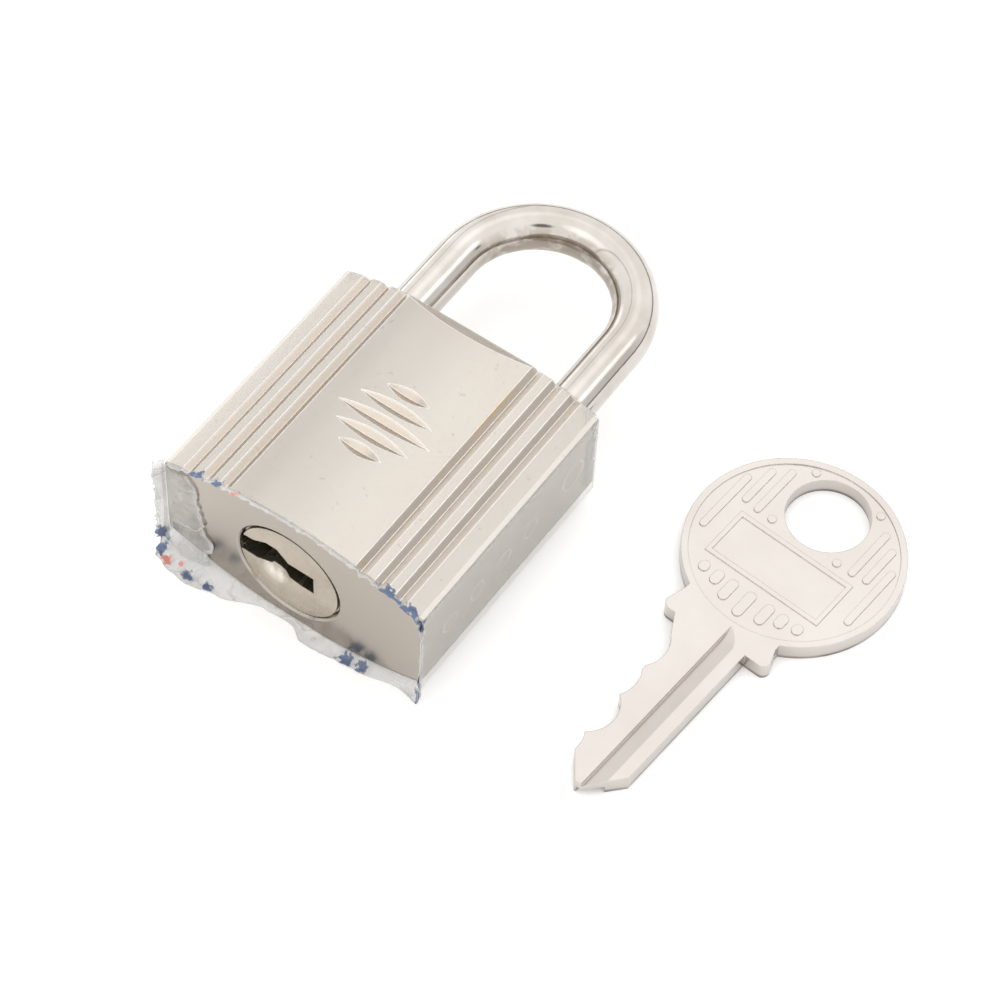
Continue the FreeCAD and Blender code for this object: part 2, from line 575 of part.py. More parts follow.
stop_groove = block("stop_groove",
                    ("heel_place - wire_radius - overcut", "heel_place - wire_radius + stop_pin_bite"),
                    ("stop_pin_place - stop_pin_radius - stop_slack - shackle_lift",
                     "stop_pin_place + stop_pin_radius + stop_slack"),
                    ("middle - wire_radius - overcut", "middle + wire_radius + overcut"))
node("shackle", cut("shackle_solid", shackle_blank,
                    [notch("heel_notch", "heel_place", 1), notch("toe_notch", "toe_place", -1), stop_groove]))
stop_rod = rod("stop_rod", "stop_pin_radius", "middle + stop_pin_reach",
               ("heel_place - wire_radius", "stop_pin_place", "0"), "+Z")
node("shackle_stop_pin", shared("shackle_stop_pin_solid", [stop_rod, case_blank]))
node("heel_spring", spring("heel_spring_solid", "wire_radius - leg_end_chamfer - heel_spring_wire",
                           "heel_spring_wire", "heel_spring_length", "heel_spring_turns",
                           ("heel_place", "heel_hole_end", "middle"), "+Y"))

# ---------------------------------------------------------------- clear film

film_side = "(half_width + film_gap + film_thickness)"
film_inside = "(half_width + film_gap)"
film_top = "(case_height + film_gap + film_thickness)"
film_over = rod("film_over", "dome_radius + film_gap + film_thickness", film_top + " + film_skirt",
                ("0", "-film_skirt", "front_dome_axis"), "+Y")
film_block = block("film_block", ("-" + film_side, film_side), ("-film_skirt", film_top),
                   ("back_edge", "crown + overcut"))
film_under = rod("film_under", "dome_radius + film_gap", "case_height + film_gap + film_skirt + overcut",
                 ("0", "-film_skirt - overcut", "front_dome_axis"), "+Y")
film_hollow = block("film_hollow", ("-" + film_inside, film_inside),
                    ("-film_skirt - overcut", "case_height + film_gap"),
                    ("back_edge - overcut", "crown + overcut"))
film_shell = cut("film_shell", shared("film_form", [film_over, film_block]),
                 [shared("film_room", [film_under, film_hollow])])
film_pieces = [film_shell, block("film_flap_sheet", ("-half_width - film_flare", "half_width + film_flare"),
                                 ("-film_flap", "-film_gap"), ("0", "film_thickness"))]
for side, low, high in (("left", "-" + film_side, "-" + film_inside), ("right", film_inside, film_side)):
    film_pieces.append(block("film_cheek_" + side, (low, high), ("-film_skirt", "-film_gap"),
                             ("0", "front_edge")))
leg_gap = "wire_radius + film_hole_gap"
film_holes = [rod("film_hole_" + name, leg_gap, "film_gap + film_thickness + 2 * overcut",
                  (place, "case_height - overcut", "middle"), "+Y")
              for name, place in (("heel", "heel_place"), ("toe", "toe_place"))]
node("protective_film", cut("protective_film_solid", join("film_sheets", film_pieces), film_holes))

# ---------------------------------------------------------------- key, in its own frame about the bow

ROOT = "blade_root"
key_bow = rod("key_bow", "bow_radius", "key_thickness", ("0", "0", "0"))
lug_across = "(key_lug_reach - key_lug_radius)"
lug_places = {"left": ("-" + lug_across, ROOT + " + key_lug_radius"),
              "right": (lug_across, ROOT + " + key_lug_radius + key_lug_skew")}
key_neck = prism("key_neck", "XY",
                 [("-" + lug_across, ROOT), ("blade_back", ROOT), ("blade_back", ROOT + " + key_lug_skew"),
                  (lug_across, ROOT + " + key_lug_skew"), ("key_lug_reach", lug_places["right"][1]),
                  ("key_neck_half_width", "-key_neck_foot"), ("key_neck_half_width", "-key_neck_root"),
                  ("-key_neck_half_width", "-key_neck_root"), ("-key_neck_half_width", "-key_neck_foot"),
                  ("-key_lug_reach", lug_places["left"][1])],
                 "0", "key_thickness")
key_lugs = [rod("key_lug_" + side, "key_lug_radius", "key_thickness", (*place, "0"))
            for side, place in lug_places.items()]
blade_bar = block("blade_bar", ("blade_front", "blade_back"), ("blade_tip + tip_length", "-key_neck_root"),
                  ("0", "key_thickness"))
tip_front = "blade_front + tip_inset"
blade_point = prism("blade_point", "XY",
                    [("blade_front", "blade_tip + tip_length"), (tip_front, "blade_tip"),
                     (tip_front + " + tip_width", "blade_tip"), ("blade_back", "blade_tip + tip_length")],
                    "0", "key_thickness")
throat = prism("throat", "XY",
               [("blade_front", ROOT + " - throat_length"),
                ("blade_front + throat_blend", ROOT + " + throat_blend"),
                ("blade_front - throat_width", ROOT + " + throat_blend"),
                ("blade_front - throat_width", ROOT)],
               "0", "key_thickness")
key_blank = join("key_blank", [key_bow, key_neck, blade_bar, blade_point, throat] + key_lugs)


def key_cut(index):
    """One pin's round-bottomed cut in the bitted edge."""
    along = "(blade_root - pin_first - %d * pin_pitch)" % index
    return rod("key_cut_%d" % (index + 1), "cut_radius", "key_thickness + 2 * overcut",
               ("blade_front + %s - cut_radius" % CUT_DEPTHS[index], along, "-overcut"))


groove_near = "(blade_back - groove_inset - groove_width)"
groove_far = "(blade_back - groove_inset)"
groove_floor = "(key_thickness - groove_depth)"
front_groove = [
    prism("front_groove", "XZ",
          [(groove_near, groove_floor), (groove_far, "key_thickness"),
           (groove_far, "key_thickness + overcut"), (groove_near, "key_thickness + overcut")],
          "blade_tip - overcut", "blade_length + overcut"),
    taper("front_groove_wheel", "groove_runout_radius", "groove_runout_radius - groove_depth", "groove_width",
          (groove_near, ROOT, groove_floor + " + groove_runout_radius"), "+X"),
]
ward_left = "blade_back - ward_inset - ward_width"
back_ward = [
    block("back_ward", (ward_left, "blade_back - ward_inset"), ("blade_tip - overcut", ROOT),
          ("-overcut", "ward_depth")),
    rod("back_ward_wheel", "groove_runout_radius", "ward_width",
        (ward_left, ROOT, "ward_depth - groove_runout_radius"), "+X"),
]


def pill(name, across, low, high, width):
    """A raised bar with round ends, drawn upright."""
    half = "(%s) / 2" % width
    base = "key_thickness - 2 * emboss_depth"
    tall = "4 * emboss_depth"
    middle = block(name + "_bar", ("%s - %s" % (across, half), "%s + %s" % (across, half)),
                   ("%s + %s" % (low, half), "%s - %s" % (high, half)), (base, "%s + %s" % (base, tall)))
    ends = [rod("%s_end_%d" % (name, number), half, tall, (across, place, base))
            for number, place in enumerate(("%s + %s" % (low, half), "%s - %s" % (high, half)))]
    return join(name, [middle] + ends)


SIDES = {"left": "-", "right": ""}
raised = []
for number in range(1, 4):
    bar = "side_bar_%d" % number
    for side, sign in SIDES.items():
        raised.append(pill("%s_%s" % (bar, side), sign + bar + "_across", bar + "_low", bar + "_high",
                           "side_bar_width"))
for number in range(4):
    bar = "foot_bar_%d" % number
    for side, sign in SIDES.items() if number else [("middle", "")]:
        raised.append(pill("%s_%s" % (bar, side), sign + bar + "_across", bar + "_low", "foot_bar_top",
                           "foot_bar_width"))
emboss_span = ("key_thickness - 2 * emboss_depth", "key_thickness + 2 * emboss_depth")
for side, sign in SIDES.items():
    for along in ("dot_low", "dot_high"):
        raised.append(rod("%s_%s" % (along, side), "dot_radius", "4 * emboss_depth",
                          (sign + "dot_across", along, emboss_span[0])))
panel_outer = block("panel_outer", ("-frame_half_width", "frame_half_width"),
                    ("frame_low", "frame_high"), emboss_span)
panel_inner = block("panel_inner", ("-frame_half_width + frame_line", "frame_half_width - frame_line"),
                    ("frame_low + frame_line", "frame_high - frame_line"), emboss_span)
raised.append(cut("panel_frame", panel_outer, [panel_inner]))
field = rod("field", "bow_radius - bow_rim", "4 * emboss_depth",
            ("0", "0", "key_thickness - emboss_depth"))
key_field = cut("key_field", field, raised)
bow_hole = rod("bow_hole", "bow_hole_radius", "key_thickness + 2 * overcut",
               ("0", "bow_hole_place", "-overcut"))
key_tools = [key_field, bow_hole] + front_groove + back_ward + [key_cut(index) for index in PINS]
key = node("key", cut("key_solid", key_blank, key_tools))
put(key, ("key_across", "key_along", "0"), "0; 0; 1", "key_turn")

# ---------------------------------------------------------------- checks and files

doc.recompute()
worked.clear("D1")
doc.recompute()
for item in doc.Objects:
    if "Invalid" in item.State or "Error" in item.State:
        raise RuntimeError("%s did not recompute: %s" % (item.Name, item.State))
for item in nodes:
    if item.Shape.isNull() or not item.Shape.isValid() or not item.Shape.Solids:
        raise RuntimeError("%s has no valid solid" % item.Label)

os.makedirs("parts", exist_ok=True)
for item in nodes:
    item.Shape.exportStep("parts/%s.step" % item.Label)
    print("%-18s solids %d volume %9.3f" % (item.Label, len(item.Shape.Solids), item.Shape.Volume))
print("nodes", len(nodes))
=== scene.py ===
import json
import math
import bpy
from mathutils import Matrix, Vector, noise


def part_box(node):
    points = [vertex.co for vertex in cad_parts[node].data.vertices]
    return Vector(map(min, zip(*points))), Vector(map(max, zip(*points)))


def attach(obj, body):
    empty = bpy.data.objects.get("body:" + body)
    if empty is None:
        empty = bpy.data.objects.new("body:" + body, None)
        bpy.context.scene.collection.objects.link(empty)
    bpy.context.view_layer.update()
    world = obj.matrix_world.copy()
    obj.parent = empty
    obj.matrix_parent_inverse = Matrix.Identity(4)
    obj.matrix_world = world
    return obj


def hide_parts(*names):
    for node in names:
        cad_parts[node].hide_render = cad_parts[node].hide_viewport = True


# A small plated padlock in torn clear film, lying on its back beside its key.
# Metres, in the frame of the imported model: +X across, +Y towards the shackle, +Z out through the front.

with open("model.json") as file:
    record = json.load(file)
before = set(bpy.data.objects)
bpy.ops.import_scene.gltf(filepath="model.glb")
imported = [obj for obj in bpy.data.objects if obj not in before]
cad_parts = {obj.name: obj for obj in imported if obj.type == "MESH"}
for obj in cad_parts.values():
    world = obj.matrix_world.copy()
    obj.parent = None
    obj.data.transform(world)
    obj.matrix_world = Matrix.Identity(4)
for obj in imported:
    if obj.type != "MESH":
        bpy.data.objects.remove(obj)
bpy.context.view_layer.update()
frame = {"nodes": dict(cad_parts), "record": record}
MM = 0.001


# ---------------------------------------------------------------- shader maths

class Value:
    """A number that changes over a surface; sums on it add Math nodes."""

    def __init__(self, nodes, socket):
        self.nodes = nodes
        self.socket = socket

    def maths(self, operation, first, second=None, clamp=False):
        settings = {"operation": operation, "use_clamp": clamp}
        numbers = {0: first} if second is None else {0: first, 1: second}
        return Value(self.nodes, self.nodes.add("ShaderNodeMath", settings, numbers).outputs[0])

    def __add__(self, other):
        return self.maths("ADD", self, other)

    def __sub__(self, other):
        return self.maths("SUBTRACT", self, other)

    def __rsub__(self, other):
        return self.maths("SUBTRACT", other, self)

    def __mul__(self, other):
        return self.maths("MULTIPLY", self, other)

    def __truediv__(self, other):
        return self.maths("DIVIDE", self, other)

    def __abs__(self):
        return self.maths("ABSOLUTE", self)

    __radd__ = __add__
    __rmul__ = __mul__

    def wave(self):
        """The sine of the number, from -1 to 1."""
        return self.maths("SINE", self)

    def held(self):
        """The number kept between 0 and 1."""
        return self.maths("ADD", self, 0.0, clamp=True)

    def over(self, edge, soft):
        """0 below the edge and 1 above it, with a soft step."""
        return ((self - edge) / soft + 0.5).held()


class Nodes:
    """A node tree and the one way in which nodes are added to it."""

    def __init__(self, tree):
        self.tree = tree
        self.tree.nodes.clear()

    def add(self, kind, settings=None, sockets=None):
        """A node of one kind, with its settings, then the values or links of its sockets."""
        node = self.tree.nodes.new(kind)
        for name, value in (settings or {}).items():
            if name == "stops":
                for index, (at, colour) in enumerate(value):
                    stop = node.color_ramp.elements[index] if index < 2 else node.color_ramp.elements.new(at)
                    stop.position = at
                    stop.color = colour
            else:
                setattr(node, name, value)
        for name, value in (sockets or {}).items():
            if isinstance(value, Value):
                self.tree.links.new(value.socket, node.inputs[name])
            elif isinstance(value, bpy.types.NodeSocket):
                self.tree.links.new(value, node.inputs[name])
            else:
                node.inputs[name].default_value = value
        return node


class Finish(Nodes):
    """One material, its own coordinates and the patterns that it is made of."""

    def __init__(self, name):
        self.material = bpy.data.materials.new(name)
        self.material.use_nodes = True
        super().__init__(self.material.node_tree)
        self.output = self.add("ShaderNodeOutputMaterial")
        self.place = self.add("ShaderNodeTexCoord").outputs["Object"]

    def stretched(self, scale, turn=(0.0, 0.0, 0.0), start=(0.0, 0.0, 0.0)):
        """The piece's own coordinates, moved, turned and scaled."""
        sockets = {"Vector": self.place, "Location": start, "Rotation": turn, "Scale": scale}
        return self.add("ShaderNodeMapping", None, sockets).outputs[0]

    def along(self, axis):
        """The distance along X, Y or Z in millimetres."""
        parts = self.add("ShaderNodeSeparateXYZ", None, {0: self.place})
        return Value(self, parts.outputs[axis]) / MM

    def length(self, arrow):
        """The length of a vector."""
        measured = self.add("ShaderNodeVectorMath", {"operation": "LENGTH"}, {0: arrow})
        return Value(self, measured.outputs["Value"])

    def painted(self, name):
        """The strength of a mark that is painted on the piece's points."""
        return Value(self, self.add("ShaderNodeAttribute", {"attribute_name": name}).outputs["Fac"])

    def grain(self, scale, detail=3.0, rough=0.55, turn=(0.0, 0.0, 0.0)):
        """Noise between 0 and 1, with a scale in features per metre on each axis."""
        sockets = {"Vector": self.stretched(scale, turn), "Scale": 1.0, "Detail": detail, "Roughness": rough}
        return Value(self, self.add("ShaderNodeTexNoise", None, sockets).outputs[0])

    def mixed(self, share, first, second):
        """Two colours mixed by a share."""
        settings = {"data_type": "RGBA"}
        sockets = {0: share, 6: first, 7: second}
        return self.add("ShaderNodeMix", settings, sockets).outputs[2]

    def bumped(self, height, depth, normal=None):
        """A surface normal from a height between 0 and 1 and a depth in metres."""
        sockets = {"Strength": 1.0, "Distance": depth, "Height": height}
        if normal is not None:
            sockets["Normal"] = normal
        return self.add("ShaderNodeBump", None, sockets).outputs[0]

    def eased(self, radius):
        """The normal over edges that are very slightly rounded."""
        return self.add("ShaderNodeBevel", {"samples": 4}, {"Radius": radius}).outputs[0]

    def edges(self, eased, start, soft):
        """1 along sharp edges, where the eased normal leaves the flat one."""
        flat = self.add("ShaderNodeNewGeometry").outputs["Normal"]
        agree = self.add("ShaderNodeVectorMath", {"operation": "DOT_PRODUCT"}, {0: eased, 1: flat})
        return (1.0 - Value(self, agree.outputs["Value"])).over(start, soft)

    def metal(self, colour, roughness, normal):
        """The finished metal."""
        shader = self.add("ShaderNodeBsdfPrincipled", None,
                          {"Base Color": colour, "Roughness": roughness, "Metallic": 1.0, "Normal": normal})
        self.tree.links.new(shader.outputs[0], self.output.inputs[0])
        return self.material


# ---------------------------------------------------------------- finishes

# The case's own measures, in millimetres.
case_low, case_high = (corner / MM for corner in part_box("case_body"))
HALF_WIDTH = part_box("case_body")[1].x / MM
CROWN = case_high.z
END = case_high.y
DOME_RISE = 2.8
DOME_RADIUS = (HALF_WIDTH ** 2 + DOME_RISE ** 2) / (2 * DOME_RISE)
BACK_FLAT = 0.12     # how much of the back's dome the resting flat takes off
BEVEL_LENGTH = 1.4
BEVEL_DEPTH = 0.78
FRONT_EDGE = CROWN - DOME_RISE
BACK_EDGE = case_low.z + DOME_RISE - BACK_FLAT
WORN_LINE = 7.35     # the inner edge of the right-hand band, from the middle


def plated_case():
    """Pale satin plating: faint lengthwise lines and smears, painted tan shade in recesses, painted shade on
    the sides and keyway end, painted highlights on edges, a little wear.
    """
    f = Finish("plated_case")
    lines = f.grain((9000.0, 260.0, 9000.0), 2.0)
    smear = f.grain((120.0, 90.0, 120.0), 4.0, 0.6)
    cloud = f.grain((55.0, 40.0, 55.0), 2.0)
    fleck = f.grain((1400.0, 1400.0, 1400.0), 2.0).over(0.70, 0.06)
    pale = (0.615, 0.585, 0.545, 1.0)
    warm = (0.59, 0.55, 0.50, 1.0)
    tan = (0.53, 0.455, 0.385, 1.0)
    side_shade = (0.485, 0.455, 0.415, 1.0)
    dim = (0.405, 0.365, 0.32, 1.0)
    bright = (0.93, 0.92, 0.89, 1.0)
    shade = (0.33, 0.30, 0.27, 1.0)
    brass = (0.66, 0.44, 0.19, 1.0)
    colour = f.mixed(cloud.over(0.5, 0.35), pale, warm)
    # Painted shade: the front is painted tan wherever it is cut more than 0.1 mm below its dome, in grooves,
    # flutes and the end's bevel.
    centred = f.stretched((1.0, 0.0, 1.0), start=(0.0, 0.0, (DOME_RADIUS - CROWN) * MM))
    depth = DOME_RADIUS - f.length(centred) / MM
    recess_shade = depth.over(0.10, 0.10) * f.along(2).over(FRONT_EDGE - 1.0, 0.1)
    colour = f.mixed(recess_shade * 0.75, colour, tan)
    # Painted shade: the side faces are painted darker, and the keyway end face darker still.
    side = abs(f.along(0)).over(HALF_WIDTH - 0.05, 0.06)
    end = 1.0 - f.along(1).over(0.22, 0.06)
    colour = f.mixed(side, colour, side_shade)
    colour = f.mixed(end, colour, dim)
    line = 1.0 - abs(f.along(0) - WORN_LINE).over(0.16, 0.14)
    front = f.along(1).over(0.6, 0.4)
    worn = line * front * f.grain((500.0, 90.0, 500.0), 3.0).over(0.56, 0.12)
    colour = f.mixed(worn * 0.7, colour, brass)
    colour = f.mixed(fleck * 0.3, colour, shade)
    # Painted highlight: sharp edges are painted nearly white, less so on the keyway end.
    soft = f.eased(0.13 * MM)
    edge_highlight = f.edges(soft, 0.020, 0.024) * (1.0 - 0.7 * end)
    colour = f.mixed(edge_highlight * 0.9, colour, bright)
    roughness = 0.14 + 0.10 * smear + 0.05 * lines
    height = 0.35 * lines + 0.4 * smear + 0.25 * cloud
    return f.metal(colour, roughness, f.bumped(height, 0.006 * MM, soft))


DIMPLE = (-2.3, 5.9)    # the middle of the dimple in the plug's face, across and up, in millimetres
RINGS = 46.0            # the turned rings' phase in radians for each millimetre out from the axis


def plated_plug():
    """The turned face of the plug: fine rings about its axis, scratches, and a streaky painted highlight on
    its dimple.
    """
    f = Finish("plated_plug")
    low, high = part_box("plug_cam")
    centred = f.stretched((1.0, 0.0, 1.0), start=(-(low.x + high.x) / 2, 0.0, -(low.z + high.z) / 2))
    rings = (f.length(centred) / MM * RINGS).wave() * 0.5 + 0.5
    scratch = f.grain((1500.0, 300.0, 260.0), 2.0, 0.5, turn=(0.0, 0.7, 0.0)).over(0.62, 0.05)
    smear = f.grain((260.0, 260.0, 260.0), 4.0)
    pale = (0.50, 0.445, 0.37, 1.0)
    warm = (0.41, 0.36, 0.295, 1.0)
    dimple_highlight = (0.80, 0.76, 0.69, 1.0)
    colour = f.mixed(smear.over(0.52, 0.3), pale, warm)
    # Painted highlight: a streaky pale patch is painted over the dimple.
    x = f.along(0) - DIMPLE[0]
    z = f.along(2) - DIMPLE[1]
    hollow = 1.0 - (x * x + z * z).over(1.9, 2.2)
    streaks = f.grain((900.0, 300.0, 260.0), 3.0, 0.5, turn=(0.0, 0.5, 0.0)).over(0.48, 0.16)
    colour = f.mixed(hollow * (0.35 + 0.65 * streaks), colour, dimple_highlight)
    roughness = 0.20 + 0.14 * smear + 0.08 * scratch
    height = 0.25 * rings + 0.5 * smear + 0.4 * scratch + 0.8 * hollow * streaks
    normal = f.bumped(height, 0.010 * MM, f.eased(0.10 * MM))
    return f.metal(colour, roughness, normal)


INNER_BROWN_DEPTH = 4.1       # how far in from the bow's outer edge the brown starts, in millimetres


def polished_shackle():
    """Mirror-bright round wire with faint polishing waves and patchy brown on the inside of its bow."""
    f = Finish("polished_shackle")
    wave = f.grain((240.0, 240.0, 240.0), 2.0)
    hair = f.grain((5200.0, 5200.0, 5200.0), 2.0).over(0.66, 0.10)
    pale = (0.60, 0.57, 0.54, 1.0)
    warm = (0.50, 0.465, 0.425, 1.0)
    brown = (0.27, 0.22, 0.165, 1.0)
    colour = f.mixed(wave.over(0.5, 0.4), pale, warm)
    low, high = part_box("shackle")
    outer = (high.x - low.x) / 2
    centred = f.stretched((1.0, 1.0, 0.0), start=(-(low.x + high.x) / 2, outer - high.y, 0.0))
    # Patchy brown, also rougher, on the inside of the bow's curve.
    inside = 1.0 - f.length(centred).over(outer - INNER_BROWN_DEPTH * MM, 0.9 * MM)
    bend = f.along(1).over((high.y - outer) / MM + 1.0, 3.0)
    inner_brown = inside * bend * f.grain((700.0, 700.0, 700.0), 3.0).over(0.46, 0.16)
    colour = f.mixed(inner_brown * 0.65, colour, brown)
    roughness = 0.03 + 0.04 * wave + 0.05 * hair + 0.12 * inner_brown
    return f.metal(colour, roughness, f.bumped(wave + 0.12 * hair, 0.012 * MM, f.eased(0.08 * MM)))


def plated_key():
    """Soft silvery plating with a fine grain, painted highlights on its edges and painted shade along its
    foot where it lies.
    """
    f = Finish("plated_key")
    fine = f.grain((2600.0, 2600.0, 2600.0), 2.0)
    soft = f.grain((420.0, 420.0, 420.0), 3.0)
    cloud = f.grain((90.0, 90.0, 90.0), 3.0)
    pale = (0.58, 0.545, 0.513, 1.0)
    warm = (0.535, 0.498, 0.464, 1.0)
    bright = (0.86, 0.84, 0.81, 1.0)
    dark = (0.15, 0.13, 0.115, 1.0)
    colour = f.mixed(cloud.over(0.5, 0.35), pale, warm)
    roughness = 0.15 + 0.08 * soft + 0.05 * fine
    height = 0.3 * fine + 0.7 * soft
    # Painted highlight: sharp edges are painted paler.
    soft_edge = f.eased(0.12 * MM)
    edge_highlight = f.edges(soft_edge, 0.16, 0.12)
    colour = f.mixed(edge_highlight * 0.35, colour, bright)
    # Painted shade: the bottom of the key's sides, where it lies on the floor, is painted dark in patches.
    foot = 1.0 - f.along(2).over(0.34, 0.30)
    patchy = f.grain((160.0, 160.0, 160.0), 2.0).over(0.45, 0.2)
    colour = f.mixed(foot * (0.35 + 0.5 * patchy), colour, dark)
    return f.metal(colour, roughness, f.bumped(height, 0.014 * MM, soft_edge))


def turned_brass():
    """Bare brass with fine lathe rings along the pins."""
    f = Finish("turned_brass")
    rings = f.grain((7000.0, 300.0, 300.0), 2.0)
    stain = f.grain((700.0, 700.0, 700.0), 3.0)
    colour = f.mixed(stain.over(0.5, 0.4), (0.74, 0.54, 0.25, 1.0), (0.52, 0.35, 0.15, 1.0))
    return f.metal(colour, 0.22 + 0.16 * stain, f.bumped(rings, 0.006 * MM, f.eased(0.05 * MM)))


def ground_steel():
    """Grey steel with cross grinding lines and a little oil staining."""
    f = Finish("ground_steel")
    lines = f.grain((600.0, 6000.0, 600.0), 2.0)
    stain = f.grain((500.0, 500.0, 500.0), 3.0)
    colour = f.mixed(stain.over(0.5, 0.4), (0.50, 0.50, 0.51, 1.0), (0.33, 0.31, 0.29, 1.0))
    return f.metal(colour, 0.24 + 0.16 * lines, f.bumped(lines, 0.006 * MM, f.eased(0.05 * MM)))


def spring_wire():
    """Drawn music wire, grey with darker streaks."""
    f = Finish("spring_wire")
    streak = f.grain((2500.0, 2500.0, 2500.0), 3.0)
    colour = f.mixed(streak.over(0.5, 0.4), (0.46, 0.45, 0.44, 1.0), (0.28, 0.27, 0.26, 1.0))
    return f.metal(colour, 0.22 + 0.14 * streak, f.bumped(streak, 0.003 * MM))


FINISHES = {
    "plated_case": plated_case(), "plated_plug": plated_plug(), "polished_shackle": polished_shackle(),
    "plated_key": plated_key(), "bare_brass": turned_brass(), "steel": ground_steel(),
    "spring_wire": spring_wire(),
}
for row in frame["record"]["subparts"]:
    if row["material_slot"] in FINISHES:
        frame["nodes"][row["node"]].material_slots[0].material = FINISHES[row["material_slot"]]


# ---------------------------------------------------------------- clear film

def clear_film():
    """Thin clear plastic: whitish where it is creased or torn, with specks of blue and a little red ink."""
    f = Finish("clear_film")
    fold = abs(f.grain((300.0, 300.0, 300.0), 2.0, 0.45) - 0.5) * 2.0
    creases = 1.0 - fold.over(0.04, 0.05)
    haze = f.grain((220.0, 220.0, 220.0), 3.0, 0.5).over(0.55, 0.20)
    torn = f.painted("torn")
    edge = f.painted("edge")
    speckle = f.grain((1900.0, 1900.0, 1900.0), 2.0, 0.6) * 1.6 - 1.32
    blue = (f.painted("blue_ink") + speckle).over(0.0, 0.12)
    red = (f.painted("red_ink") + speckle).over(0.0, 0.12)
    whitish = (0.66, 0.66, 0.65, 1.0)
    blue_ink = (0.10, 0.145, 0.25, 1.0)
    red_ink = (0.76, 0.24, 0.18, 1.0)
    colour = f.mixed(blue, whitish, blue_ink)
    colour = f.mixed(red, colour, red_ink)
    rim = Value(f, f.add("ShaderNodeLayerWeight", None, {"Blend": 0.2}).outputs["Facing"])
    body = torn * (0.10 + 0.18 * haze + 0.26 * creases) + 0.32 * edge
    share = (0.02 + body + 0.35 * rim * torn + 0.06 * rim + 0.62 * blue + 0.34 * red).held()
    normal = f.bumped(fold, 0.22 * MM)
    plastic = f.add("ShaderNodeBsdfPrincipled", None,
                    {"Base Color": colour, "Roughness": 0.10, "Normal": normal, "IOR": 1.5})
    clear = f.add("ShaderNodeBsdfTransparent", None, {"Color": (0.965, 0.963, 0.96, 1.0)})
    both = f.add("ShaderNodeMixShader", None,
                 {0: share, 1: clear.outputs[0], 2: plastic.outputs[0]})
    f.tree.links.new(both.outputs[0], f.output.inputs[0])
    return f.material


def ruffle(x, y, size, seed):
    """Smooth noise from -1 to 1 at a place in the plane, in millimetres."""
    return noise.noise(Vector((x / size, y / size, seed)))


def film_piece(name, columns, rows, place, marks, thickness=0.05):
    """A sheet of film: a grid whose points are laid by place(u, v) in millimetres."""
    bpy.ops.object.select_all(action="DESELECT")
    bpy.ops.mesh.primitive_grid_add(x_subdivisions=columns, y_subdivisions=rows, size=1.0)
    sheet = bpy.context.object
    sheet.name = name
    sheet.data.name = name
    shares = [(point.co.x + 0.5, point.co.y + 0.5) for point in sheet.data.vertices]
    for point, (u, v) in zip(sheet.data.vertices, shares):
        point.co = Vector(place(u, v)) * MM
    for mark, strength in marks.items():
        layer = sheet.data.attributes.new(mark, "FLOAT", "POINT")
        for index, (u, v) in enumerate(shares):
            layer.data[index].value = strength(sheet.data.vertices[index].co / MM, u, v)
    wall = sheet.modifiers.new("wall", "SOLIDIFY")
    wall.thickness = thickness * MM
    wall.offset = 0.0
    bpy.ops.object.modifier_apply(modifier=wall.name)
    bpy.ops.object.shade_smooth()
    sheet.data.materials.append(FILM)
    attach(sheet, "case")
    return sheet


FILM = clear_film()


def front_height(x, y=0.0):
    """The height of the domed front at a place, with the bevel across its shackle end."""
    dome = CROWN - DOME_RADIUS + math.sqrt(DOME_RADIUS ** 2 - min(abs(x), HALF_WIDTH) ** 2)
    bevel = CROWN - BEVEL_DEPTH * (y - END + BEVEL_LENGTH) / BEVEL_LENGTH
    return min(dome, bevel)


def back_height(x):
    """The height of the domed back at a place across it."""
    return max(0.0, DOME_RADIUS - BACK_FLAT - math.sqrt(DOME_RADIUS ** 2 - min(abs(x), HALF_WIDTH) ** 2))


def blots(spots):
    """How near a point is to any of some ink spots, each a place and a radius in millimetres."""
    def strength(at, u, v):
        return max(max(0.0, 1.0 - (at - Vector(spot)).length / radius) for spot, radius in spots)
    return strength


BLUE_SPOTS = [
    ((-11.0, -0.3, 14.6), 1.6), ((-8.6, -0.2, 15.2), 1.2), ((-15.6, -0.9, 2.0), 1.8),
    ((-15.4, -1.4, 0.4), 1.5), ((-11.2, -2.4, 0.1), 1.0), ((-8.8, -2.2, 0.1), 0.9),
    ((7.0, -1.0, 0.3), 1.5), ((8.6, -0.7, 0.3), 1.1),
    ((11.0, -0.2, 14.4), 1.6), ((12.2, -0.3, 14.1), 1.4), ((13.2, -0.3, 13.8), 1.7),
    ((15.2, -0.3, 13.2), 1.3), ((15.3, -0.9, 4.0), 1.6), ((15.3, -0.8, 1.0), 1.5), ((14.2, -0.2, 13.6), 1.2),
]
RED_SPOTS = [((-13.9, -2.0, 0.1), 1.0), ((-12.4, -1.6, 0.1), 0.7), ((-6.4, -0.2, 15.4), 0.8)]

# The wrap's path round the case: up the left side, over the front, down the right side.
CORNER = 0.35
SIDE_START = BACK_EDGE - 1.2    # how low the wrap's sides reach
FRONT_SPAN = 2 * (HALF_WIDTH - CORNER)
SIDE_SPAN = FRONT_EDGE - CORNER - SIDE_START
GAP = 0.06                      # between the case and the wrap
FILM_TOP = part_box("protective_film")[1].z / MM - 0.04


def wrap_section(u):
    """A point on the wrap's path round the case, across and up."""
    path = u * (2 * SIDE_SPAN + FRONT_SPAN)
    if path < SIDE_SPAN:
        return -HALF_WIDTH - GAP, SIDE_START + path
    if path > SIDE_SPAN + FRONT_SPAN:
        return HALF_WIDTH + GAP, SIDE_START + SIDE_SPAN - (path - SIDE_SPAN - FRONT_SPAN)
    x = path - SIDE_SPAN - FRONT_SPAN / 2
    return x, front_height(x) + GAP


